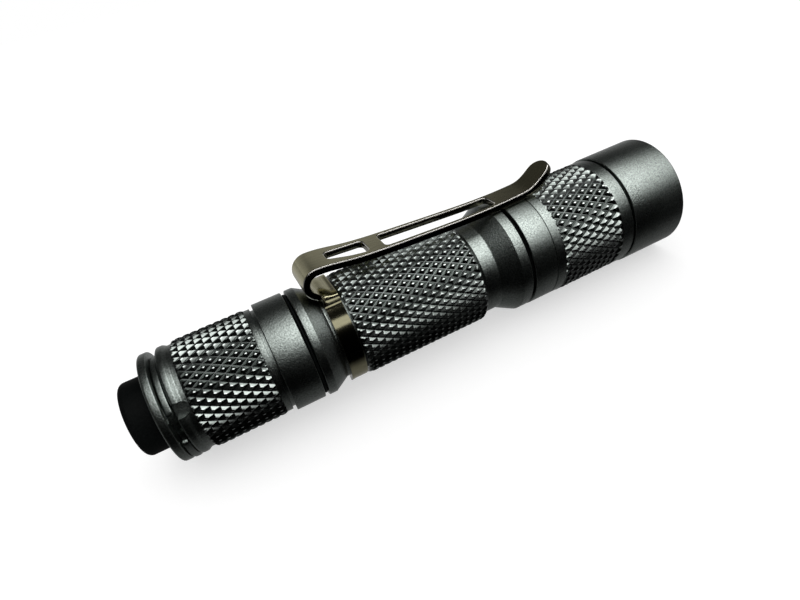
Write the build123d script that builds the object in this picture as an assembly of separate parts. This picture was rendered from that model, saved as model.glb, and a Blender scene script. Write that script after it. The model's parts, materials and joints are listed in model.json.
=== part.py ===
from build123d import *
from math import cos, sin, tan, sqrt, radians
import os

# Keychain flashlight for one AAA cell. Every station is measured along the light's axis from the
# rear face of the tail flange, in millimetres, and every radius from that axis. The light lies
# along X with the head at +X, the pocket clip straight up and the bezel resting on z = 0.

# ---- driving dimensions ----
LENGTH = 71.2            # tail flange's rear face to the bezel's front face
BUTTON_OUT = 3.4         # how far the rubber button stands out behind the flange
BEZEL_R = 7.7            # largest radius, so also the height of the axis
HEAD_R = 7.5
HEAD_KNURL_R = 7.6
COLLAR_R = 7.46          # flange on the tube behind the head
BODY_KNURL_R = 6.77
NECK_R = 6.12
TAIL_BAND_R = 7.0
TAIL_KNURL_R = 6.83
TAIL_FLANGE_R = 6.75
BORE_R = 5.5             # battery tube's bore
REAR_SPIGOT_R = 6.12     # tube's rear thread, inside the tail cap
FRONT_SPIGOT_R = 6.35    # tube's front thread, inside the head
FIT = 0.07               # radial clearance of the threads and other running fits

CELL_R = 5.25            # AAA cell: 10.5 mm across, 44.5 mm long
CELL_LENGTH = 44.5
CELL_REAR = 11.6         # station of the cell's flat end
NUB_LENGTH = 0.95

CLIP_T = 0.85            # spring-steel sheet of the arm
CLIP_RING_T = 0.6        # the same sheet, coined thinner round the tube
SEAT_R = 5.92            # groove in the tube that holds the clip's ring
SEAT = (21.0, 23.65)
CLIP_RING = (21.3, 23.4)
CLIP_GAP_DEG = 60.0      # opening of the ring, on the side away from the arm

BUTTON_R = 4.55
BUTTON_TRAVEL = 0.9
GROOVE_FLOOR_R = 5.1     # lanyard groove behind the tail cap's collar
GROOVE = (1.05, 2.05)
LANYARD_R = (5.65, 6.43)  # lanyard ring's inner and outer radius
LANYARD_DROP = 0.5       # the loose ring hangs this far below the axis
LANYARD_GAP_DEG = 38.0
LANYARD_GAP_AT = 78.0    # degrees from straight up, towards -Y
NOTCH_AT = 63.5          # lanyard notch, degrees from straight up, towards -Y
NOTCH_W = 1.76

MID = (LENGTH - BUTTON_OUT) / 2      # station that lies at x = 0
LIFT = BEZEL_R


# ---- helpers ----
def outline(points):
    """Face in the XY plane from (station, radius[, corner radius]) points."""
    count, corners = len(points), []
    spot = [Vector(p[0] - MID, p[1]) for p in points]
    for i, point in enumerate(points):
        here = spot[i]
        if len(point) < 3:
            corners.append((here, None, here))
            continue
        back = (spot[i - 1] - here).normalized()
        ahead = (spot[(i + 1) % count] - here).normalized()
        half = radians(back.get_angle(ahead)) / 2
        middle = here + (back + ahead).normalized() * (point[2] / sin(half))
        run = point[2] / tan(half)
        crown = middle + (here - middle).normalized() * point[2]
        corners.append((here + back * run, crown, here + ahead * run))
    edges = []
    for i, (start, crown, end) in enumerate(corners):
        if crown is not None:
            edges.append(ThreePointArc(start, crown, end))
        edges.append(Line(end, corners[(i + 1) % count][0]))
    return make_face(Curve() + edges)


def mirrored(side):
    """Closed outline from one side's points and the same points on the other side of the axis."""
    return side + [(point[0], -point[1], *point[2:]) for point in reversed(side)]


def turned(points):
    return revolve(outline(points), Axis.X, 360)


def ring(start, end, inner, outer, soft=0.0):
    corner = (soft,) if soft else ()
    return turned([(start, inner), (start, outer, *corner), (end, outer, *corner), (end, inner)])


def disc(start, end, radius):
    return turned([(start, 0), (start, radius), (end, radius), (end, 0)])


def o_ring(station, radius, wire):
    section = Pos(station - MID, radius) * Circle(wire)
    return revolve(section, Axis.X, 360)


def box_at(stations, ys, zs):
    size = (stations[1] - stations[0], ys[1] - ys[0], zs[1] - zs[0])
    centre = (sum(stations) / 2 - MID, sum(ys) / 2, sum(zs) / 2)
    return Pos(*centre) * Box(*size)


def coil(start, end, radius, wire, turns):
    """Helical spring along the axis."""
    run = end - start - 2 * wire
    path = Helix(pitch=run / turns, height=run, radius=radius)
    section = Plane(path @ 0, z_dir=path % 0) * Circle(wire)
    spring = sweep(section, path=path, is_frenet=True)
    return Pos(start + wire - MID, 0, 0) * (Rot(0, 90, 0) * spring)


def sector(start, end, inner, outer, from_deg, to_deg):
    """Part of a ring; angles run from straight up (+Z) towards +Y."""
    full = ring(start, end, inner, outer)
    wedge_pts = [(0, 0)]
    steps = 8
    for i in range(steps + 1):
        a = radians(from_deg + (to_deg - from_deg) * i / steps)
        wedge_pts.append((sin(a) * outer * 2, cos(a) * outer * 2))
    plane = Plane(origin=(start - MID - 1, 0, 0), x_dir=(0, 1, 0), z_dir=(1, 0, 0))
    wedge = extrude(plane * make_face(Polyline(*wedge_pts, close=True)), amount=end - start + 2)
    return full & wedge


parts = {}

# ---- tail cap ----
tail_cap = turned([
    (0, BUTTON_R + FIT), (0, TAIL_FLANGE_R, 0.28), (GROOVE[0], TAIL_FLANGE_R, 0.2),
    (GROOVE[0], GROOVE_FLOOR_R), (GROOVE[1], GROOVE_FLOOR_R), (GROOVE[1], TAIL_FLANGE_R, 0.3),
    (2.8, TAIL_FLANGE_R, 0.4), (3.25, 6.48, 0.3), (3.75, 6.5, 0.3), (4.05, 6.8, 0.06),
    (12.55, TAIL_KNURL_R, 0.12), (12.75, 6.65), (13.45, 6.65), (13.45, 6.35), (13.85, 6.35),
    (13.85, TAIL_BAND_R, 0.12), (17.6, TAIL_BAND_R, 0.15), (17.6, REAR_SPIGOT_R + FIT),
    (11.3, REAR_SPIGOT_R + FIT), (11.3, 5.65), (2.4, 5.65), (2.4, BUTTON_R + FIT)])
# the notch is a round-ended slot through the collar, open to the lanyard groove
notch_end = 3.75 - NOTCH_W / 2
notch = Pos((GROOVE[0] + notch_end) / 2 - MID, 0, 7.0) * Box(notch_end - GROOVE[0], NOTCH_W, 2.0)
notch += Pos(notch_end - MID, 0, 7.0) * Cylinder(NOTCH_W / 2, 2.0)
parts["tail_cap"] = tail_cap - Rot(NOTCH_AT, 0, 0) * notch

gap = LANYARD_GAP_DEG / 2
lanyard = ring(1.14, 1.94, LANYARD_R[0], LANYARD_R[1], 0.22)
lanyard &= sector(1.0, 2.1, 5.0, 7.0, gap - LANYARD_GAP_AT, 360 - gap - LANYARD_GAP_AT)
for side in (gap, -gap):
    middle = sum(LANYARD_R) / 2
    end_cap = Pos(1.54 - MID, 0, middle) * Rot(0, 90, 0) * Cylinder(0.38, 0.8)
    lanyard += Rot(LANYARD_GAP_AT + side, 0, 0) * end_cap
parts["lanyard_ring"] = Pos(0, 0, -LANYARD_DROP) * lanyard

# ---- switch, from the button inwards ----
parts["rubber_boot"] = turned([
    (-BUTTON_OUT, 0), (-BUTTON_OUT, BUTTON_R, 0.9), (2.45, BUTTON_R), (2.45, 5.35), (3.05, 5.35),
    (3.05, 3.7), (-2.1, 3.7, 0.4), (-2.1, 1.4), (-1.2, 1.4), (-1.2, 0)])
parts["switch_plunger"] = turned([
    (-1.17, 0), (-1.17, 1.25), (4.85, 1.25), (4.85, 2.3), (5.4, 2.3), (5.4, 1.2), (6.3, 1.2), (6.3, 0)])
parts["switch_housing"] = turned([
    (4.05, 1.25 + FIT), (4.05, 5.58, 0.2), (8.2, 5.58), (8.2, 0), (7.6, 0), (7.6, 2.6), (4.78, 2.6),
    (4.78, 1.25 + FIT)])
# drawn at its pressed length, clear of the plunger's full travel
parts["switch_spring"] = coil(6.35, 7.55, 1.75, 0.14, 3)
parts["switch_board"] = disc(8.24, 9.04, 5.58)
parts["switch_retaining_ring"] = ring(9.08, 10.2, 4.0, 5.6)
parts["tail_spring"] = coil(9.08, 11.56, 2.2, 0.22, 3)
parts["rear_o_ring"] = o_ring(17.85, 6.41, 0.22)

# ---- battery tube ----
parts["battery_tube"] = turned([
    (12.6, BORE_R), (12.6, REAR_SPIGOT_R, 0.2), (18.1, REAR_SPIGOT_R), (18.1, 7.02, 0.12),
    (19.1, 7.02, 0.1), (SEAT[0], SEAT_R), (SEAT[1], SEAT_R), (SEAT[1], 6.55, 0.1),
    (24.3, BODY_KNURL_R, 0.4), (40.2, BODY_KNURL_R, 0.5), (40.95, NECK_R), (42.9, NECK_R, 0.4),
    (45.4, COLLAR_R, 0.12), (46.9, COLLAR_R, 0.12), (46.9, FRONT_SPIGOT_R), (55.2, FRONT_SPIGOT_R, 0.2),
    (55.2, BORE_R)])

# ---- pocket clip: an open ring with a flat tab on top, a bend behind it and the arm ----
inner, outer = SEAT_R + 0.06, SEAT_R + 0.06 + CLIP_RING_T
clip = sector(*CLIP_RING, inner, outer, 30, 180 - CLIP_GAP_DEG / 2)
clip += sector(*CLIP_RING, inner, outer, 180 + CLIP_GAP_DEG / 2, 330)
clip += box_at(CLIP_RING, (-2.8, 2.8), (inner, outer))
cross = Plane(origin=(CLIP_RING[0] - MID, 0, 0), x_dir=(0, 1, 0), z_dir=(1, 0, 0))
for side in (1, -1):
    fold = [(2.4, inner), (2.4, outer), (2.8, outer), (3.56, 5.47), (3.12, 5.1)]
    fold = make_face(Polyline(*[(side * y, z) for y, z in fold], close=True))
    clip += extrude(cross * fold, amount=CLIP_RING[1] - CLIP_RING[0])
bend_at, bend_r, bend_z = 21.85, 1.6, 8.32      # centre and mid-sheet radius of the rear bend
arm = [(26.0, 9.36), (31.0, 8.8), (36.0, 8.45), (41.0, 8.14), (46.0, 7.97), (49.9, 8.03), (51.4, 8.2),
       (52.6, 8.72), (54.0, 9.66), (55.4, 10.55)]
arm = [(bend_at, bend_z + bend_r)] + arm
arm = [(x - MID, z) for x, z in arm]
heel = bend_at - MID
sheet = Spline((23.0 - MID, inner + CLIP_T / 2), (heel, bend_z - bend_r), tangents=((-1, 0), (-1, 0)))
sheet += ThreePointArc((heel, bend_z - bend_r), (heel - bend_r, bend_z), (heel, bend_z + bend_r))
sheet += Spline(*arm, tangents=((1, 0), (0.8, 0.6)))
strip = extrude(Plane.XZ * trace(sheet, line_width=CLIP_T), amount=3, both=True)
tip, tip_half = 55.2, 1.75
# seen from above: (station, half of the arm's width), narrowing towards the round tip
half_plan = [(18.0, 2.6), (24.0, 2.5), (33.0, 2.3), (40.0, 2.13), (47.0, 1.88), (52.0, tip_half),
             (tip, tip_half, tip_half - 0.01)]
strip &= Pos(0, 0, 5) * extrude(outline(mirrored(half_plan)), amount=8)
for slot in (((23.8, 0.85, 0.5), (26.3, 1.3), (28.8, 1.55, 0.6)),
             ((30.9, 1.62, 0.5), (38.0, 1.52), (46.3, 1.3, 0.6))):
    strip -= Pos(0, 0, 7.2) * extrude(outline(mirrored(list(slot))), amount=4)
parts["pocket_clip"] = clip + strip

# ---- AAA cell ----
cell_front = CELL_REAR + CELL_LENGTH - NUB_LENGTH
parts["cell_can"] = turned([
    (CELL_REAR, 0), (CELL_REAR, CELL_R - 0.11, 0.3), (cell_front, CELL_R - 0.11, 0.2), (cell_front, 4.2),
    (cell_front - 0.55, 4.2), (cell_front - 0.55, 4.86), (CELL_REAR + 0.3, 4.86), (CELL_REAR + 0.3, 0)])
parts["cell_core"] = disc(CELL_REAR + 0.33, cell_front - 0.63, 4.8)
parts["cell_wrap"] = ring(CELL_REAR + 0.4, cell_front - 0.3, CELL_R - 0.1, CELL_R)
parts["cell_seal"] = ring(cell_front - 0.53, cell_front - 0.03, 2.9, 4.17)
parts["cell_cap"] = turned([
    (cell_front - 0.53, 0), (cell_front - 0.53, 2.86), (cell_front - 0.1, 2.86), (cell_front - 0.1, 1.9),
    (cell_front + NUB_LENGTH, 1.9, 0.25), (cell_front + NUB_LENGTH, 0)])

# ---- head ----
parts["front_o_ring"] = o_ring(47.32, 6.8, 0.32)
parts["head_shell"] = turned([
    (47.25, 7.18), (47.25, HEAD_R, 0.1), (50.4, HEAD_R, 0.06), (50.4, 7.36), (50.75, 7.36),
    (50.75, HEAD_R, 0.06), (51.8, HEAD_R), (51.95, HEAD_KNURL_R - 0.02), (60.9, HEAD_KNURL_R),
    (61.0, 7.56), (62.75, 7.56, 0.1), (62.75, 7.0), (66.0, 7.0, 0.15), (66.0, 6.3), (56.0, 6.3),
    (56.0, 5.9), (55.5, 5.9), (55.5, FRONT_SPIGOT_R + FIT), (47.7, FRONT_SPIGOT_R + FIT), (47.7, 7.18)])
parts["bezel"] = turned([
    (63.05, 7.04), (63.05, BEZEL_R, 0.1), (LENGTH, BEZEL_R, 0.25), (LENGTH, 6.15), (70.65, 6.0),
    (70.65, 6.66), (66.2, 6.66), (66.2, 7.04)])
parts["lens_gasket"] = ring(70.12, 70.62, 6.02, 6.6)
parts["lens"] = disc(69.0, 70.1, 6.6)

# the reflector's bowl is a parabola with its focus inside the LED's dome
vertex, focal = 60.1, 1.0
bowl = [(s, 2 * sqrt(focal * (s - vertex))) for s in (60.92, 61.6, 62.6, 64.0, 65.6, 67.2, 68.96)]
inside = Spline(*[(s - MID, r) for s, r in bowl])
shell = [bowl[-1], (68.96, 6.6), (68.2, 6.6), (68.2, 6.22), (67.2, 6.22), (64.0, 5.0), (61.6, 3.4),
         (60.92, 2.6), bowl[0]]
outside = Polyline(*[(s - MID, r) for s, r in shell])
parts["reflector"] = revolve(make_face(Curve() + [inside, outside]), Axis.X, 360)

parts["led_centring_ring"] = ring(60.2, 60.88, 0.2, 3.2) - box_at((60, 61), (-1.8, 1.8), (-1.8, 1.8))
parts["led_base"] = box_at((60.2, 60.75), (-1.725, 1.725), (-1.725, 1.725))
dome = Pos(60.78 - MID, 0, 0) * Sphere(1.45)
parts["led_dome"] = dome & box_at((60.78, 63), (-2, 2), (-2, 2))
parts["led_board"] = disc(59.35, 60.15, 6.2)
parts["light_engine_pill"] = turned([
    (56.05, 5.65), (56.05, 6.27), (59.3, 6.27), (59.3, 1.0), (58.2, 1.0), (58.2, 5.65)])
parts["driver_board"] = disc(57.3, 58.1, 5.6)
parts["driver_retaining_ring"] = ring(56.1, 57.26, 4.7, 5.6)
parts["driver_contact"] = disc(56.15, 57.26, 1.6)

os.makedirs("parts", exist_ok=True)
for name, solid in parts.items():
    placed = Pos(0, 0, LIFT) * solid
    solids = placed.solids()
    if len(solids) != 1:
        raise ValueError(f"{name} has {len(solids)} solids")
    node = Solid(solids[0].wrapped)
    node.label = name
    export_step(node, f"parts/{name}.step")
    size = node.bounding_box().size
    print(f"{name:24s} {size.X:7.2f} {size.Y:7.2f} {size.Z:7.2f}  volume {node.volume:9.2f}")
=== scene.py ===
import json
from math import ceil, cos, pi, radians, sin, tan

import bmesh
import bpy
import numpy as np
from mathutils import Matrix, Vector

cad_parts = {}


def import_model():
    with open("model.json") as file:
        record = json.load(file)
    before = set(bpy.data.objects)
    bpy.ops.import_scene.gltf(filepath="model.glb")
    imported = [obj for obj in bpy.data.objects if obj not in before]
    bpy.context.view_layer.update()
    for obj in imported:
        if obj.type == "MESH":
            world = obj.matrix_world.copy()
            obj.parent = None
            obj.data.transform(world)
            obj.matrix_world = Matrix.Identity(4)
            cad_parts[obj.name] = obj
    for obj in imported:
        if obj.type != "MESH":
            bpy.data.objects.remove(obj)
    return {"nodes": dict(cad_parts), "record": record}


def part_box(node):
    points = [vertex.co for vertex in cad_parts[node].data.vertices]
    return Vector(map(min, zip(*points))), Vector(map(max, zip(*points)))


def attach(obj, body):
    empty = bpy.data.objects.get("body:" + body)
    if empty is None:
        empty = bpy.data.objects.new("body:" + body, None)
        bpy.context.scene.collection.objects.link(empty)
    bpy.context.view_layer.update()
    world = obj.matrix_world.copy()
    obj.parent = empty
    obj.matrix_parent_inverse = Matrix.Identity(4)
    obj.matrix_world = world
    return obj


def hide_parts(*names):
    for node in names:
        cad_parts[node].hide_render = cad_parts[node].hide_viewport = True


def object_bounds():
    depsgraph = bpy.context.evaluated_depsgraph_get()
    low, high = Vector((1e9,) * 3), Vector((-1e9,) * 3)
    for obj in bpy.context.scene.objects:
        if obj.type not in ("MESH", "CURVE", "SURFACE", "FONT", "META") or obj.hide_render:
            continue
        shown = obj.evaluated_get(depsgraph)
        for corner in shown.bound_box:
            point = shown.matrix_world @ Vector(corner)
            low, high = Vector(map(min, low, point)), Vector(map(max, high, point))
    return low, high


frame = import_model()
cad_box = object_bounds()

# Keychain flashlight. Shapes are written in millimetres: a station is the distance along the light
# from the rear face of the tail flange, a height or radius is measured from the light's axis, and an
# angle round the light starts straight up and grows towards -Y.
MM = 0.001
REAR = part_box("tail_cap")[0].x
AXIS_Z = sum(corner.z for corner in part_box("bezel")) / 2
SEGMENTS = 224           # steps round every turned piece
ARC_STEP = radians(13)   # longest step on a rounded corner
SHARP = radians(32)      # edges sharper than this are not smoothed


def radius_of(node):
    low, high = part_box(node)
    return (high.y - low.y) / 2 / MM


def span_of(node):
    """First and last station of a CAD node."""
    low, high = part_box(node)
    return (low.x - REAR) / MM, (high.x - REAR) / MM


TAIL_R = radius_of("tail_cap")
BODY_R = 6.77
HEAD_R = radius_of("head_shell")
BEZEL_R = radius_of("bezel")
BUTTON_END = span_of("rubber_boot")[0]
BEZEL_END = span_of("bezel")[1]
LEAD = 0.75              # travel of a screw thread in one turn
KNURL_DEPTH = 0.28
KNURL_LEAN = radians(30)  # angle between a knurl's grooves and the light's axis


# ---- meshes ----
def in_frame(station, side, height):
    """Points in the row frame, in metres, from stations, distances towards +Y and heights."""
    parts = np.broadcast_arrays(REAR + station * MM, side * MM, AXIS_Z + height * MM)
    return np.stack(parts, axis=-1)


def round_axis(station, radius, angle):
    return in_frame(station, -radius * np.sin(angle), radius * np.cos(angle))


def to_object(name, mesh):
    mesh.shade_smooth()
    mesh.set_sharp_from_angle(angle=SHARP)
    piece = bpy.data.objects.new(name, mesh)
    bpy.context.scene.collection.objects.link(piece)
    return piece


def mesh_piece(name, points, faces):
    """Object from points and faces, with doubles merged and the faces turned outwards."""
    mesh = bpy.data.meshes.new(name)
    mesh.from_pydata([tuple(p) for p in points], [], faces)
    solid = bmesh.new()
    solid.from_mesh(mesh)
    bmesh.ops.remove_doubles(solid, verts=solid.verts, dist=1e-8)
    bmesh.ops.dissolve_degenerate(solid, edges=solid.edges, dist=1e-9)
    bmesh.ops.recalc_face_normals(solid, faces=solid.faces)
    solid.to_mesh(mesh)
    solid.free()
    return to_object(name, mesh)


def rounded(points):
    """Outline through (a, b[, corner radius]) points, with an arc at each corner that has a radius."""
    outline, count = [], len(points)
    for i, point in enumerate(points):
        here = Vector(point[:2])
        if len(point) < 3:
            outline.append(here)
            continue
        back = (Vector(points[i - 1][:2]) - here).normalized()
        ahead = (Vector(points[(i + 1) % count][:2]) - here).normalized()
        half = back.angle(ahead) / 2
        run, turn = point[2] / tan(half), pi - 2 * half
        middle = here + (back + ahead).normalized() * (point[2] / sin(half))
        start, end = here + back * run - middle, here + ahead * run - middle
        steps = max(2, ceil(turn / ARC_STEP))
        for k in range(steps + 1):
            t = k / steps * turn
            outline.append(middle + (start * sin(turn - t) + end * sin(t)) / sin(turn))
    return np.array(outline)


def swept(name, rows):
    """Mesh over a grid of points whose columns close round the axis, and whose rows close too."""
    count, around = rows.shape[:2]
    faces = []
    for i in range(count):
        a, b = i * around, (i + 1) % count * around
        for j in range(around):
            k = (j + 1) % around
            faces.append((a + j, a + k, b + k, b + j))
    return mesh_piece(name, rows.reshape(-1, 3), faces)


def turned(name, points):
    outline = rounded(points)
    angle = np.arange(SEGMENTS) * 2 * pi / SEGMENTS
    rows = round_axis(outline[:, :1], outline[:, 1:], angle[None, :])
    return swept(name, rows)


def o_ring(name, station, radius, wire):
    turn = np.arange(24) * 2 * pi / 24
    angle = np.arange(SEGMENTS) * 2 * pi / SEGMENTS
    rows = round_axis(station + wire * np.cos(turn)[:, None], radius + wire * np.sin(turn)[:, None], angle)
    return swept(name, rows)


def thread(name, start, end, root, crest):
    """Screw thread with rounded crests, running out at both ends, closed by a wall under its root."""
    angle = np.arange(SEGMENTS) * 2 * pi / SEGMENTS
    station = np.arange(start, end, LEAD / 12)
    phase = (station[:, None] / LEAD - angle[None, :] / (2 * pi)) % 1.0
    rise = np.clip(1.7 * (0.5 - np.abs(phase - 0.5)) * 2 - 0.35, 0, 1)
    fade = np.clip(np.minimum(station - start, end - station) / LEAD, 0, 1)[:, None]
    outer = root + (crest - root) * rise * fade
    radius = np.vstack([np.full((1, SEGMENTS), root - 0.1), outer, np.full((1, SEGMENTS), root - 0.1)])
    station = np.concatenate([station[:1], station, station[-1:]])
    return swept(name, round_axis(station[:, None], radius, angle[None, :]))


# mesh lines across one groove and its ridge, as parts of the pitch
GROOVE_EDGES = (0.035, 0.2, 0.36, 0.43, 0.57, 0.64, 0.8, 0.965)


def knurl(name, starts, crest, envelope, under, fade):
    """Diamond knurling: two crossing families of V grooves, on a mesh that follows the grooves.
    envelope is the outline that the crests keep to, under the radius of the hidden inner wall, and
    fade how far the grooves take to run out at each end."""
    stations, radii = np.array(envelope).T
    first, last = stations[0], stations[-1]
    cell = len(GROOVE_EDGES)
    around = starts * cell
    lean = tan(KNURL_LEAN) * starts / (2 * pi * crest)
    rows = int(ceil(2 * lean * (last - first)) + 2) * cell + cell

    def phase(index):
        return index // cell + np.array(GROOVE_EDGES)[index % cell]

    step = np.arange(rows)[:, None] - cell
    one = phase(np.broadcast_to(np.arange(around)[None, :], (rows, around)))
    two = phase(np.arange(around)[None, :] - step)
    angle = (one + two) * pi / starts
    free = first + (one - two) / (2 * lean)
    station = np.clip(free, first, last)

    def height(p):
        return np.interp(np.abs(p - np.round(p)), (0.035, 0.36, 0.43), (0, 0.91, 1))

    turn, slide = angle * starts / (2 * pi), lean * (station - first)
    rise = np.minimum(height(turn + slide), height(turn - slide))
    depth = np.full_like(station, KNURL_DEPTH)
    if fade[0]:
        depth *= np.clip((station - first) / fade[0], 0, 1)
    if fade[1]:
        depth *= np.clip((last - station) / fade[1], 0, 1)
    radius = np.minimum(np.interp(station, stations, radii), crest - depth * (1 - rise))

    grid = np.arange(rows * around).reshape(rows, around)
    ahead = np.roll(grid, -1, axis=1)
    quads = np.stack([grid[1:-1], ahead[2:], ahead[1:-1], grid[:-2]], axis=-1).reshape(-1, 4)
    side = np.sign(free - station).astype(int).ravel()
    side[np.isclose(free.ravel(), station.ravel())] = 0
    outside = np.abs(side[quads].sum(axis=1)) == 4
    quads = quads[~outside]
    rise = rise.ravel()[quads]
    faces = []
    for corners, tops in zip(quads.tolist(), rise.tolist()):
        odd = None
        for k in range(4):
            rest = [tops[(k + n) % 4] for n in (1, 2, 3)]
            if max(rest) - min(rest) < 1e-6 < abs(tops[k] - rest[0]):
                odd = k
        if odd is None:
            faces.append(corners)
        else:
            a, b, c, d = (corners[(odd + n) % 4] for n in range(4))
            faces += [(a, b, c), (a, c, d)]

    mesh = bpy.data.meshes.new(name)
    points = round_axis(station, radius, angle).reshape(-1, 3)
    mesh.from_pydata([tuple(p) for p in points], [], faces)
    solid = bmesh.new()
    solid.from_mesh(mesh)
    bmesh.ops.remove_doubles(solid, verts=solid.verts, dist=2e-6)
    bmesh.ops.dissolve_degenerate(solid, edges=solid.edges, dist=1e-7)
    loose = [v for v in solid.verts if not v.link_faces]
    bmesh.ops.delete(solid, geom=loose, context="VERTS")
    rim = [e for e in solid.edges if e.is_boundary]
    made = bmesh.ops.extrude_edge_only(solid, edges=rim)["geom"]
    for v in (g for g in made if isinstance(g, bmesh.types.BMVert)):
        flat = Vector((v.co.y, v.co.z - AXIS_Z))
        flat *= under * MM / flat.length
        v.co.y, v.co.z = flat.x, AXIS_Z + flat.y
    bmesh.ops.bridge_loops(solid, edges=[e for e in solid.edges if e.is_boundary])
    bmesh.ops.recalc_face_normals(solid, faces=solid.faces)
    solid.to_mesh(mesh)
    solid.free()
    piece = to_object(name, mesh)
    # Per-point mask for the material: 1 at the crests, which take a worn colour, falling to 0 on the groove
    # floors, which are painted in shade.
    wear = mesh.attributes.new("wear", "FLOAT", "POINT")
    co = np.zeros(len(mesh.vertices) * 3)
    mesh.vertices.foreach_get("co", co)
    out = np.hypot(co[1::3], co[2::3] - AXIS_Z) / MM
    wear.data.foreach_set("value", np.clip((out - crest + KNURL_DEPTH) / KNURL_DEPTH, 0, 1))
    return piece


def carved(piece, cutter):
    """Cuts one mesh out of another."""
    cut = piece.modifiers.new("cut", "BOOLEAN")
    cut.operation, cut.object, cut.solver = "DIFFERENCE", cutter, "EXACT"
    bpy.context.view_layer.update()
    depsgraph = bpy.context.evaluated_depsgraph_get()
    mesh = bpy.data.meshes.new_from_object(piece.evaluated_get(depsgraph))
    piece.modifiers.clear()
    piece.data = mesh
    mesh.set_sharp_from_angle(angle=SHARP)
    bpy.data.objects.remove(cutter)


def spline(points, start, end, count):
    """Smooth curve through the points that leaves and arrives in the given directions."""
    p = np.array(points, float)
    gap = np.linalg.norm(np.diff(p, axis=0), axis=1)
    knot = np.concatenate(([0], np.cumsum(gap)))
    size = len(p)
    left, right = np.zeros((size, size)), np.zeros((size, 2))
    left[0, 0] = left[-1, -1] = 1
    right[0], right[-1] = start, end
    for i in range(1, size - 1):
        a, b = gap[i - 1], gap[i]
        left[i, i - 1 : i + 2] = b, 2 * (a + b), a
        right[i] = 3 * (b * (p[i] - p[i - 1]) / a + a * (p[i + 1] - p[i]) / b)
    slope = np.linalg.solve(left, right)
    at = np.linspace(0, knot[-1], count)
    k = np.clip(np.searchsorted(knot, at, "right") - 1, 0, size - 2)
    x, g = ((at - knot[k]) / gap[k])[:, None], gap[k][:, None]
    near = (1 + 2 * x) * (1 - x) ** 2 * p[k] + x * (1 - x) ** 2 * g * slope[k]
    far = x * x * (3 - 2 * x) * p[k + 1] + x * x * (x - 1) * g * slope[k + 1]
    return near + far


def length_along(line):
    return np.concatenate(([0], np.cumsum(np.linalg.norm(np.diff(line, axis=0), axis=1))))


# ---- pocket clip: one blanked sheet, rolled into a ring at one end and folded back on itself ----
CLIP_T = 0.85
CLIP_EDGE = 0.18                   # bevel of the sheet's edges
UNDER_EDGE = 0.25                  # the bevels underneath are this much of that
RING_T = 0.6                       # the ring is coined thinner than the arm
RING_MID = 6.28                    # sheet's middle radius in its seat
RING_FRONT = 23.4
RING_W = 2.1
TAB_HALF = 2.7
FOLD_TO = 30.5                     # the ring is round from this angle to the next
RING_END = 150.0
BEND_AT, BEND_R, BEND_H = 21.85, 1.6, 8.32
ARM = ((26.0, 9.36), (31.0, 8.8), (36.0, 8.45), (41.0, 8.14), (46.0, 7.97), (49.9, 8.03), (51.4, 8.2),
       (52.6, 8.72), (54.0, 9.66), (55.4, 10.55))
ARM_END = span_of("pocket_clip")[1]
# half of the arm's width by station, and the slots in it: (station, half of its width) at both ends
ARM_HALF = ((19.0, 2.6), (24.0, 2.5), (33.0, 2.3), (40.0, 2.13), (47.0, 1.88), (52.0, 1.75))
HEEL_HALF = 2.6
KNEE_END = 2.8                     # the sheet is curved across its width up to here from the ring's front
FLARE = 7.0                        # length at the tip that needs a finer mesh
SLOTS = (((23.8, 0.85), (26.3, 1.3), (28.8, 1.55)), ((30.9, 1.62), (38.0, 1.52), (46.3, 1.3)))


def clip_section():
    """Middle of the sheet from the tab's centre round one half of the ring, as (side, height)."""
    arc = [(RING_MID * sin(radians(a)), RING_MID * cos(radians(a)))
           for a in np.arange(FOLD_TO, RING_END + 6, 3)]
    knee = rounded([(0, RING_MID), (TAB_HALF, RING_MID, 0.55), (*arc[0], 0.7), arc[3]])
    return np.vstack([knee[:-1], arc[2:]])


def clip_path():
    """Middle of the sheet from the ring's front edge, round the bend and along the arm, and the index
    of the first point past the bend."""
    step = np.linspace(0, 1, 12)
    ease = step * step * (3 - 2 * step)
    heel_h = BEND_H - BEND_R
    rise = np.column_stack([23.0 + (BEND_AT - 23.0) * step, RING_MID + (heel_h - RING_MID) * ease])
    turn = np.radians(np.arange(-90, -271, -6))
    bend = np.column_stack([BEND_AT + BEND_R * np.cos(turn), BEND_H + BEND_R * np.sin(turn)])
    arm = spline([(BEND_AT, BEND_H + BEND_R), *ARM], (1, 0), (0.8, 0.6), 160)
    path = np.vstack([[(RING_FRONT, RING_MID)], rise, bend[1:], arm[1:]])
    return path, len(path) - len(arm)


def cut_flat(flat, place, facing, limit):
    """Adds edges where a plane crosses the blank's faces, up to the given distance from the ring's front."""
    faces = [face for face in flat.faces if face.calc_center_median().x < limit]
    edges = {edge for face in faces for edge in face.edges}
    verts = {vert for face in faces for vert in face.verts}
    bmesh.ops.bisect_plane(flat, geom=[*verts, *edges, *faces], dist=1e-5, plane_co=place, plane_no=facing)


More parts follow.
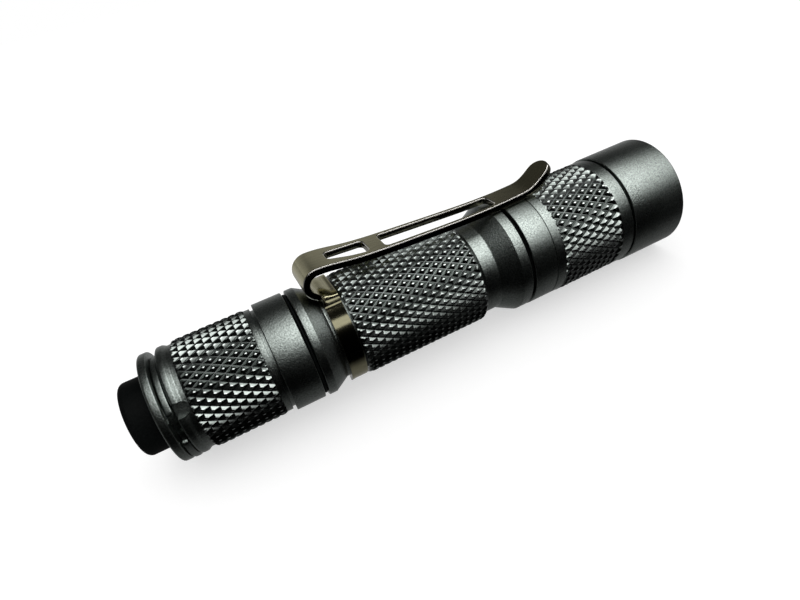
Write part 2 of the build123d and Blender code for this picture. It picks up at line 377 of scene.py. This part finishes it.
def pocket_clip():
    section, (path, arm_from) = clip_section(), clip_path()
    section_len, path_len = length_along(section), length_along(path)

    def along_arm(station):
        return np.interp(station, path[arm_from:, 0], path_len[arm_from:])

    round_end = np.interp(radians(RING_END), np.arctan2(section[:, 0], section[:, 1]), section_len)
    tip = along_arm(ARM_END - 0.05)
    end = ARM_HALF[-1][1]
    side = [(RING_W, round_end, 0.5), (RING_W, HEEL_HALF, 0.4)]
    side += [(along_arm(station), half) for station, half in ARM_HALF[1:]]
    side += [(tip, end, end - 0.01)]
    other = [(u, -v, *corner) for u, v, *corner in reversed(side)]
    outline = rounded([(0, -round_end, 0.5), (0, round_end, 0.5), *side, *other])
    sheet = bpy.data.curves.new("sheet", "CURVE")
    sheet.dimensions, sheet.fill_mode = "2D", "BOTH"
    sheet.extrude, sheet.bevel_depth, sheet.bevel_resolution = CLIP_T / 2 - CLIP_EDGE, CLIP_EDGE, 3
    sheet.offset = -CLIP_EDGE
    holes = []
    for slot in SLOTS:
        (a, p), (b, q), (c, r) = ((along_arm(station), half) for station, half in slot)
        holes.append(rounded([(a, -p, 0.5), (b, -q), (c, -r, 0.6), (c, r, 0.6), (b, q), (a, p, 0.5)]))
    for line in (outline, *holes):
        loop = sheet.splines.new("POLY")
        loop.points.add(len(line) - 1)
        corners = np.column_stack([line, np.zeros(len(line)), np.ones(len(line))])
        loop.points.foreach_set("co", corners.ravel())
        loop.use_cyclic_u = True
    blank = bpy.data.objects.new("sheet", sheet)
    mesh = bpy.data.meshes.new_from_object(blank)
    flat = bmesh.new()
    flat.from_mesh(mesh)
    bmesh.ops.remove_doubles(flat, verts=flat.verts, dist=1e-5)
    bmesh.ops.dissolve_limit(flat, angle_limit=radians(0.5), verts=[], edges=flat.edges)
    bend_cuts = np.arange(0.2, 9.4, 0.16)
    arm_cuts = np.arange(9.6, tip - FLARE, 0.5)
    flare_cuts = np.arange(tip - FLARE, tip, 0.25)
    for u in (*bend_cuts, *arm_cuts, *flare_cuts):
        cut_flat(flat, (u, 0, 0), (1, 0, 0), tip + 5)
    tab_cuts = (0, 0.6, 1.2)
    for v in (*tab_cuts, *np.arange(1.84, round_end, 0.3)):
        cut_flat(flat, (0, v, 0), (0, 1, 0), KNEE_END)
        cut_flat(flat, (0, -v, 0), (0, 1, 0), KNEE_END)

    def middle(u, v):
        lift = np.clip((TAB_HALF - np.abs(v)) / 1.1, 0, 1)
        heel = np.clip((u - 1.5) / 1.1, 0, 1) * np.clip((TAB_HALF + 0.5 - np.abs(v)) / 0.5, 0, 1)
        lift = np.maximum(lift, heel)
        lift = lift * lift * (3 - 2 * lift)
        ring = np.column_stack([RING_FRONT - u, np.interp(np.abs(v), section_len, section[:, 0]) * np.sign(v),
                                np.interp(np.abs(v), section_len, section[:, 1])])
        arm = np.column_stack([np.interp(u, path_len, path[:, 0]), v, np.interp(u, path_len, path[:, 1])])
        return ring + (arm - ring) * lift[:, None]

    flat.normal_update()
    level = {face: abs(face.normal.z) > 0.999 for face in flat.faces}
    crisp = [len({level[face] for face in edge.link_faces}) == 2 for edge in flat.edges]
    for vert in flat.verts:
        rise = (vert.co.z - CLIP_T / 2) / CLIP_EDGE + 1
        if rise > 0 and vert.normal.z < 0.99:
            out = Vector(vert.normal[:2]).normalized() * (1 - max(0, 1 - rise * rise) ** 0.5)
            vert.co += Vector((out.x, out.y, 1 - rise)) * (CLIP_EDGE * (1 - UNDER_EDGE))
    u, v, t = np.array([vert.co for vert in flat.verts]).T
    near = 0.02
    normal = np.cross(middle(u, v + near) - middle(u, v - near), middle(u + near, v) - middle(u - near, v))
    normal /= np.linalg.norm(normal, axis=1)[:, None]
    thick = np.interp(u, (RING_W - 0.6, RING_W + 0.6), (RING_T / CLIP_T, 1))
    bent = middle(u, v) + normal * (t * thick)[:, None]
    for vert, (station, side, height) in zip(flat.verts, bent):
        vert.co = in_frame(station, side, height)
    bmesh.ops.recalc_face_normals(flat, faces=flat.faces)
    if flat.calc_volume(signed=True) < 0:
        bmesh.ops.reverse_faces(flat, faces=flat.faces)
    flat.to_mesh(mesh)
    flat.free()
    bpy.data.objects.remove(blank)
    piece = to_object("clip_spring", mesh)
    mesh.edges.foreach_set("use_edge_sharp", crisp)
    # Per-point mask for the material: 1 along the upper bevels, where the steel is painted with a highlight;
    # 0 on the slot walls and lower bevels, which are painted in shade; 0.5 on the flat faces, which keep the
    # plain colour.
    wear = mesh.attributes.new("wear", "FLOAT", "POINT")
    height = -t / (CLIP_T / 2)
    rim = 1 - CLIP_EDGE / (CLIP_T / 2)
    bands = (-0.99, -0.98, rim, rim + 0.05, 0.98, 0.99)
    wear.data.foreach_set("value", np.interp(height, bands, (0.5, 0.0, 0.0, 1.0, 1.0, 0.5)))
    return piece


# ---- small turned and swept parts ----
def lanyard_ring():
    """Open wire ring of soft-cornered section, hanging a little low in its groove."""
    gap_at, gap, drop, inner, outer = 78.0, 38.0, 0.5, 5.65, 6.43
    first, last = span_of("lanyard_ring")
    middle, half = (inner + outer) / 2, (outer - inner) / 2
    centre = (first + last) / 2
    wide = (last - first) / 2
    section = rounded([(-wide, -half, 0.22), (-wide, half, 0.22), (wide, half, 0.22), (wide, -half, 0.22)])
    reach = gap / 2 - np.degrees(half / middle)
    angle = np.radians(np.linspace(gap_at + reach, gap_at + 360 - reach, 181))
    ends = np.radians(np.array([0.0, 0.25, 0.8, 1.6, 2.6]) / 2.6 * np.degrees(half / middle))
    angle = np.unique(np.concatenate([angle[0] + ends, angle[3:-3], angle[-1] - ends]))
    along = np.minimum(angle - angle[0], angle[-1] - angle) * middle / half
    swell = np.sqrt(1 - (1 - np.clip(along, 0.0004, 1)) ** 2)
    radius = middle + section[:, 1][:, None] * swell[None, :]
    station = centre + section[:, 0][:, None] * np.minimum(1, 0.55 + 0.45 * swell)[None, :]
    grid = round_axis(station, radius, angle[None, :])
    grid[..., 2] -= drop * MM
    count, around = grid.shape[:2]
    faces = []
    for i in range(count):
        for j in range(around - 1):
            k = (i + 1) % count
            faces.append((i * around + j, i * around + j + 1, k * around + j + 1, k * around + j))
    faces += [[i * around for i in range(count)], [i * around + around - 1 for i in range(count)]]
    return mesh_piece("lanyard_wire", grid.reshape(-1, 3), faces)


def lanyard_notch():
    """Round-ended cutter for the notch in the tail cap's collar."""
    at, half, low, high = radians(63.5), 0.88, 5.75, 8.0
    line = rounded([(0.95, -half), (3.75, -half, half - 0.01), (3.75, half, half - 0.01), (0.95, half)])
    count = len(line)
    points = []
    for height in (low, high):
        up, side = height * cos(at) + line[:, 1] * sin(at), -height * sin(at) + line[:, 1] * cos(at)
        points.append(in_frame(line[:, 0], side, up))
    faces = [list(range(count)), list(range(count, 2 * count))]
    faces += [(i, (i + 1) % count, count + (i + 1) % count, count + i) for i in range(count)]
    return mesh_piece("notch_cutter", np.vstack(points), faces)


# ---- materials ----
def add(tree, kind, inputs=None, **settings):
    made = tree.nodes.new(kind)
    for key, value in settings.items():
        setattr(made, key, value)
    for key, value in (inputs or {}).items():
        if isinstance(value, bpy.types.NodeSocket):
            tree.links.new(value, made.inputs[key])
        else:
            made.inputs[key].default_value = value
    return made


def ramp(tree, factor, low, high, from_min=0.0, from_max=1.0):
    """A number that runs from low to high as factor runs over its range."""
    values = {"Value": factor, "From Min": from_min, "From Max": from_max, "To Min": low, "To Max": high}
    return add(tree, "ShaderNodeMapRange", values).outputs["Result"]


def blend_colours(tree, factor, one, two):
    mix = add(tree, "ShaderNodeMix", data_type="RGBA")
    tree.links.new(factor, mix.inputs["Factor"])
    for socket, colour in ((mix.inputs[6], one), (mix.inputs[7], two)):
        if isinstance(colour, bpy.types.NodeSocket):
            tree.links.new(colour, socket)
        else:
            socket.default_value = (*colour, 1)
    return mix.outputs[2]


def surface(name, dark, light, rough, grain, height, sockets=None, stretch=(1, 1, 1), wear_and_highlight_colour=None,
            painted_shade_colour=None):
    """Material whose grain (patches per metre) varies its colour, roughness and relief. The two optional
    colours sit at the high and low ends of the mesh's per-point mask: the high-end colour is wear on knurl
    crests and a painted highlight along the clip's upper bevels; the low-end colour is painted shade on the
    knurl groove floors and on the clip's slot walls and lower bevels."""
    material = bpy.data.materials.new(name)
    material.use_nodes = True
    tree = material.node_tree
    shader = tree.nodes["Principled BSDF"]
    where = add(tree, "ShaderNodeTexCoord").outputs["Object"]
    where = add(tree, "ShaderNodeMapping", {"Vector": where, "Scale": stretch}).outputs["Vector"]
    fine = add(tree, "ShaderNodeTexNoise", {"Vector": where, "Scale": grain, "Detail": 3.0, "Roughness": 0.6})
    broad = add(tree, "ShaderNodeTexNoise", {"Vector": where, "Scale": grain / 28, "Detail": 3.0})
    fleck = ramp(tree, fine.outputs["Fac"], 0, 1, 0.3, 0.7)
    colour = blend_colours(tree, fleck, dark, light)
    roughness = ramp(tree, broad.outputs["Fac"], rough[0], rough[1], 0.3, 0.7)
    if wear_and_highlight_colour or painted_shade_colour:
        wear = add(tree, "ShaderNodeAttribute", attribute_name="wear").outputs["Fac"]
    # High end: wear on knurl crests, and a painted highlight along the clip's upper bevels.
    if wear_and_highlight_colour:
        colour = blend_colours(tree, ramp(tree, wear, 0, 1, 0.75, 1.0), colour, wear_and_highlight_colour)
    # Low end: painted shade on the knurl groove floors and on the clip's slot walls and lower bevels.
    if painted_shade_colour:
        colour = blend_colours(tree, ramp(tree, wear, 1, 0, 0.0, 0.2), colour, painted_shade_colour)
    tree.links.new(colour, shader.inputs["Base Color"])
    tree.links.new(roughness, shader.inputs["Roughness"])
    relief = add(tree, "ShaderNodeBump", {"Strength": 1.0, "Distance": height, "Height": fine.outputs["Fac"]})
    tree.links.new(relief.outputs["Normal"], shader.inputs["Normal"])
    for key, value in (sockets or {}).items():
        shader.inputs[key].default_value = value
    return material


METAL = {"Metallic": 1.0}
MATERIALS = {
    "anodised": surface("anodised aluminium", (0.114, 0.128, 0.12), (0.287, 0.318, 0.298), (0.26, 0.32),
                        5200, 3e-5, METAL),
    # Knurling: lighter worn crests, and painted shade on the groove floors.
    "knurled": surface("cut anodised aluminium", (0.188, 0.208, 0.196), (0.258, 0.285, 0.268),
                       (0.18, 0.24), 5200, 5e-6, METAL, wear_and_highlight_colour=(0.44, 0.47, 0.455),
                       painted_shade_colour=(0.1, 0.109, 0.105)),
    "rubber": surface("black rubber", (0.0008, 0.0012, 0.0012), (0.0022, 0.0027, 0.0026), (0.5, 0.62),
                      5000, 6e-6, {"Specular IOR Level": 0.05}),
    # Clip: painted highlight along the upper bevels, painted shade on the slot walls and lower bevels.
    "clip_steel": surface("spring steel", (0.45, 0.425, 0.275), (0.53, 0.5, 0.325), (0.13, 0.19), 3000, 4e-7,
                          METAL, stretch=(0.25, 1, 1), wear_and_highlight_colour=(0.95, 0.92, 0.86), painted_shade_colour=(0.13, 0.12, 0.09)),
    "white_plastic": surface("white plastic", (0.72, 0.72, 0.7), (0.8, 0.8, 0.78), (0.4, 0.5), 2500, 3e-6),
    "black_plastic": surface("black plastic", (0.02, 0.02, 0.02), (0.035, 0.035, 0.035), (0.4, 0.5), 2500,
                             3e-6),
    "spring_wire": surface("plated wire", (0.55, 0.47, 0.3), (0.72, 0.63, 0.42), (0.2, 0.3), 3000, 1e-6,
                           METAL),
    "board": surface("green board", (0.012, 0.11, 0.05), (0.02, 0.16, 0.07), (0.3, 0.4), 1800, 3e-6),
    "led_board": surface("white board", (0.74, 0.74, 0.72), (0.82, 0.82, 0.8), (0.35, 0.45), 1800, 3e-6),
    "brass": surface("brass", (0.55, 0.4, 0.16), (0.7, 0.53, 0.24), (0.22, 0.34), 2200, 1e-6, METAL,
                     stretch=(1, 0.2, 0.2)),
    "cell_steel": surface("nickel plate", (0.62, 0.61, 0.58), (0.74, 0.73, 0.7), (0.16, 0.26), 2200, 6e-7,
                          METAL),
    "cell_core": surface("pressed powder", (0.03, 0.03, 0.03), (0.07, 0.07, 0.07), (0.8, 0.95), 4000, 2e-5),
    "cell_wrap": surface("shrink film", (0.06, 0.075, 0.09), (0.09, 0.11, 0.13), (0.18, 0.28), 900, 4e-6,
                         {"Coat Weight": 0.4}),
    "mirror": surface("metallised bowl", (0.86, 0.86, 0.85), (0.93, 0.93, 0.92), (0.03, 0.07), 2600, 4e-7,
                      METAL),
    "led_ceramic": surface("ceramic", (0.82, 0.82, 0.8), (0.9, 0.9, 0.88), (0.35, 0.5), 3000, 2e-6),
    "led_dome": surface("clear silicone", (0.97, 0.95, 0.85), (1.0, 0.98, 0.9), (0.02, 0.05), 1500, 2e-7,
                        {"Transmission Weight": 1.0, "IOR": 1.41}),
    "phosphor": surface("phosphor", (0.75, 0.56, 0.07), (0.86, 0.68, 0.13), (0.6, 0.75), 9000, 4e-6),
    "glass": surface("coated glass", (0.96, 0.975, 0.97), (0.98, 0.99, 0.985), (0.0, 0.02), 700, 1e-7,
                     {"Transmission Weight": 1.0, "IOR": 1.5}),
}


def dress(piece, slot, body=None, replaces=(), material=None):
    piece.data.materials.clear()
    piece.data.materials.append(MATERIALS[material or slot])
    if replaces:
        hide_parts(*replaces)
    if body:
        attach(piece, body)


# ---- the visible pieces ----
def tail():
    cap = turned("tail_cap_shell", [
        (0, 4.62), (0, 6.75, 0.28), (1.05, 6.75, 0.2), (1.05, 5.1, 0.1), (2.05, 5.1, 0.1), (2.05, 6.75, 0.3),
        (2.8, 6.75, 0.4), (3.25, 6.48, 0.3), (3.84, 6.5), (3.88, 6.35), (12.72, 6.35), (12.75, 6.65, 0.05),
        (13.45, 6.65, 0.05), (13.47, 6.35), (13.83, 6.35), (13.85, TAIL_R, 0.1), (17.6, TAIL_R, 0.15),
        (17.6, 6.19), (11.3, 6.19), (11.3, 5.65), (2.4, 5.65), (2.4, 4.62)])
    carved(cap, lanyard_notch())
    dress(cap, "anodised", "tail", ["tail_cap"])
    grip = knurl("tail_cap_knurl", 40, 6.83, [(3.8, 6.52), (4.05, 6.78), (4.2, 6.83), (12.45, 6.83),
                                             (12.6, 6.78), (12.75, 6.64)], 6.3, (0, 0))
    dress(grip, "anodised", "tail", material="knurled")
    dress(lanyard_ring(), "anodised", "lanyard", ["lanyard_ring"])
    boot = turned("tail_button", [
        (BUTTON_END, 0), (BUTTON_END, 2.6, 3.0), (BUTTON_END + 0.06, 4.55, 0.7), (2.45, 4.55), (2.45, 5.35),
        (3.05, 5.35), (3.05, 3.7), (-2.1, 3.7, 0.4), (-2.1, 1.4), (-1.2, 1.4), (-1.2, 0)])
    dress(boot, "rubber", "button", ["rubber_boot"])
    dress(o_ring("rear_seal_ring", 17.85, 6.41, 0.22), "rubber", "rear_seal", ["rear_o_ring"])


def tube():
    shell = turned("battery_tube_shell", [
        (12.6, 5.5), (12.6, 5.86, 0.1), (18.0, 5.86), (18.1, 6.12), (18.1, 7.02, 0.12), (19.1, 7.02, 0.1),
        (21.0, 5.92, 0.1), (23.65, 5.92), (23.66, 6.3), (40.6, 6.3), (40.85, 6.02), (40.94, 6.02),
        (40.95, 6.12), (42.9, 6.12, 0.4), (45.4, 7.46, 0.12), (46.75, 7.46, 0.1), (46.75, 6.35, 0.05),
        (47.5, 6.35, 0.1), (47.7, 6.04), (55.2, 6.04, 0.1), (55.2, 5.5)])
    dress(shell, "anodised", "tube", ["battery_tube"])
    grip = knurl("battery_tube_knurl", 40, BODY_R, [
        (23.65, 6.55), (24.0, 6.7), (24.4, BODY_R), (40.05, BODY_R), (40.3, 6.68), (40.95, 6.12)],
        6.0, (0, 0))
    dress(grip, "anodised", "tube", material="knurled")
    dress(thread("rear_thread", 12.8, 17.9, 5.84, 6.12), "anodised", "tube")
    dress(thread("front_thread", 47.7, 55.0, 6.02, 6.35), "anodised", "tube")
    dress(pocket_clip(), "clip_steel", "clip", ["pocket_clip"])
    dress(o_ring("front_seal_ring", 47.3, 6.68, 0.32), "rubber", "front_seal", ["front_o_ring"])


def head():
    shell = turned("head_shell_body", [
        (47.25, 7.18), (47.25, 7.5, 0.1), (50.4, 7.5, 0.05), (50.42, 7.4), (50.58, 7.4), (50.6, 7.5, 0.05),
        (51.8, 7.5), (51.82, 7.15), (60.98, 7.15), (61.0, 7.56), (62.75, 7.56, 0.1), (62.75, 7.0),
        (66.0, 7.0, 0.15), (66.0, 6.3), (56.0, 6.3), (56.0, 5.9), (55.5, 5.9), (55.5, 6.42), (47.7, 6.42),
        (47.7, 7.18)])
    dress(shell, "anodised", "head", ["head_shell"])
    grip = knurl("head_knurl", 42, HEAD_R, [
        (51.8, 7.5), (51.95, 7.56), (52.15, HEAD_R), (60.8, HEAD_R), (61.0, 7.56)], 7.05, (0.25, 0.25))
    dress(grip, "anodised", "head", material="knurled")
    bezel = turned("bezel_ring", [
        (63.05, 7.04), (63.05, BEZEL_R, 0.1), (BEZEL_END, BEZEL_R, 0.22), (BEZEL_END, 6.35, 0.1),
        (70.65, 6.02, 0.05), (70.65, 6.66), (66.2, 6.66), (66.2, 7.04)])
    dress(bezel, "anodised", "head", ["bezel"])
    lens_from, lens_to = span_of("lens")
    lens_r = radius_of("lens")
    lens = turned("lens_disc", [
        (lens_from, 0), (lens_from, lens_r, 0.12), (lens_to, lens_r, 0.12), (lens_to, 0)])
    dress(lens, "glass", "head", ["lens"])
    vertex, focal = 60.1, 1.0
    rim = span_of("reflector")[1]
    bowl = [(s, 2 * (focal * (s - vertex)) ** 0.5) for s in np.linspace(60.92, rim, 40)]
    back = [(rim, 6.6), (68.2, 6.6), (68.2, 6.22), (67.2, 6.22), (64.0, 5.0), (61.6, 3.4), (60.92, 2.6)]
    dress(turned("reflector_bowl", bowl + back), "mirror", "head", ["reflector"])
    half, top = 0.95 * MM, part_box("led_base")[1].x
    chip = [(top + h, y * half, AXIS_Z + z * half) for h in (0, 2.5e-5)
            for y, z in ((-1, -1), (1, -1), (1, 1), (-1, 1))]
    sides = [(i, (i + 1) % 4, 4 + (i + 1) % 4, 4 + i) for i in range(4)]
    dress(mesh_piece("led_phosphor", chip, [(0, 1, 2, 3), (4, 5, 6, 7), *sides]), "led_dome", "head",
          material="phosphor")


tail()
tube()
head()
for row in frame["record"]["subparts"]:
    node = frame["nodes"][row["node"]]
    node.data.materials.clear()
    node.data.materials.append(MATERIALS[row["material_slot"]])

# ---- floor, light and camera ----
FLOOR_SIZE = 3.0


def floor():
    half = FLOOR_SIZE / 2
    mesh = bpy.data.meshes.new("floor")
    level = cad_box[0].z
    mesh.from_pydata([(-half, -half, level), (half, -half, level), (half, half, level), (-half, half, level)],
                     [], [(0, 1, 2, 3)])
    piece = bpy.data.objects.new("floor", mesh)
    bpy.context.scene.collection.objects.link(piece)
    paper = bpy.data.materials.new("white paper")
    paper.use_nodes = True
    shader = paper.node_tree.nodes["Principled BSDF"]
    shader.inputs["Base Color"].default_value = (0.6, 0.6, 0.6, 1)
    shader.inputs["Roughness"].default_value = 0.9
    shader.inputs["Specular IOR Level"].default_value = 0.0
    shader.inputs["Emission Color"].default_value = (1, 1, 1, 1)
    shader.inputs["Emission Strength"].default_value = 0.53
    mesh.materials.append(paper)
    piece.visible_glossy = False


def softbox(name, lift, across, reach, size, energy, spread=180):
    """Area light facing the object. lift is its angle above the floor, seen from the camera's side, and
    across how far it stands towards the head end."""
    a, b = radians(lift), radians(across)
    toward = Vector((sin(b), -cos(a) * cos(b), sin(a) * cos(b)))
    light = bpy.data.lights.new(name, "AREA")
    light.shape, light.size, light.size_y = "ELLIPSE", size[0], size[1]
    light.energy, light.spread = energy, radians(spread)
    lamp = bpy.data.objects.new(name, light)
    short = toward.cross(Vector((1, 0, 0))).normalized()
    turn = Matrix((short.cross(toward), short, toward)).transposed().to_4x4()
    lamp.matrix_world = Matrix.Translation(Vector((0, 0, AXIS_Z)) + toward * reach) @ turn
    lamp.visible_camera = False
    bpy.context.scene.collection.objects.link(lamp)
    return lamp


def link_light(lamp, state, *names):
    """Keeps a light for the named pieces alone ("INCLUDE"), or away from them ("EXCLUDE")."""
    group = bpy.data.collections.new(lamp.name)
    lamp.light_linking.receiver_collection = group
    for name in names:
        group.objects.link(bpy.data.objects[name])
    for member in group.collection_objects:
        member.light_linking.link_state = state


# brightness of the studio round the light's axis: (angle from -Y through straight up, brightness)
STUDIO = ((-180, 0.4), (-165, 0.5), (-130, 0.32), (-110, 0.2), (-92, 0.16), (-72, 0.13), (-60, 0.05),
          (-50, 0.0), (20, 0.0), (60, 0.0), (120, 0.02), (145, 0.05), (160, 0.1), (180, 0.4))


def world():
    """Studio walls: a gradient round the light's long axis, a soft grey past its two ends, and plain
    white where the camera looks straight at them."""
    scene = bpy.context.scene
    scene.world = bpy.data.worlds.new("studio")
    scene.world.use_nodes = True
    tree = scene.world.node_tree
    tree.nodes.clear()
    view = add(tree, "ShaderNodeTexCoord").outputs["Generated"]
    parts = add(tree, "ShaderNodeSeparateXYZ", {"Vector": view}).outputs
    front = add(tree, "ShaderNodeMath", {0: parts["Y"], 1: -1.0}, operation="MULTIPLY").outputs[0]
    turn = add(tree, "ShaderNodeMath", {0: parts["Z"], 1: front}, operation="ARCTAN2").outputs[0]
    place = ramp(tree, turn, 0, 1, -pi, pi)
    wall = add(tree, "ShaderNodeValToRGB", {"Fac": place})
    stops = wall.color_ramp.elements
    while len(stops) < len(STUDIO):
        stops.new(0.5)
    for stop, (angle, bright) in zip(stops, STUDIO):
        stop.position = (angle + 180) / 360
        stop.color = (bright, bright, bright, 1)
    end = add(tree, "ShaderNodeMath", {0: parts["X"]}, operation="ABSOLUTE").outputs[0]
    end = ramp(tree, end, 0, 1, 0.75, 1.0)
    glow = blend_colours(tree, end, wall.outputs["Color"], (0.15, 0.15, 0.15))
    ray = add(tree, "ShaderNodeLightPath").outputs
    plain = add(tree, "ShaderNodeMath", {0: ray["Is Camera Ray"], 1: ray["Is Diffuse Ray"]}, operation="ADD")
    glow = blend_colours(tree, plain.outputs[0], glow, (1, 1, 1))
    background = add(tree, "ShaderNodeBackground", {"Color": glow, "Strength": 1.0})
    out = add(tree, "ShaderNodeOutputWorld")
    tree.links.new(background.outputs[0], out.inputs[0])
    scene.world.cycles.sampling_method = "NONE"


def camera():
    """Close, wide view from above the tail end, rolled a little, as a phone held over a table."""
    data = bpy.data.cameras.new("camera")
    data.sensor_width, data.lens = 36.0, 25.2
    data.clip_start, data.clip_end = 0.005, 10.0
    lens = bpy.data.objects.new("camera", data)
    right = Vector((0.88503, -0.41251, -0.21576))
    up = Vector((0.40163, 0.44225, 0.80194))
    back = right.cross(up)
    turn = Matrix((right, up, back)).transposed().to_4x4()
    lens.matrix_world = Matrix.Translation((-0.019745, -0.057890, 0.048235)) @ turn
    bpy.context.scene.collection.objects.link(lens)
    bpy.context.scene.camera = lens


floor()
world()
link_light(softbox("key", 66, 21, 0.6, (1.08, 1.08), 2.65, 84), "EXCLUDE", "clip_spring", "floor")
link_light(softbox("clip strip", 45, 10, 0.6, (1.1, 0.2), 0.42), "INCLUDE", "clip_spring")
link_light(softbox("clip top", 92, 10, 0.6, (1.1, 0.14), 1.1), "INCLUDE", "clip_spring")
link_light(softbox("clip back", 161, 0, 0.6, (1.0, 0.22), 0.12), "INCLUDE", "clip_spring")
bpy.context.scene.view_settings.view_transform = "Standard"
camera()
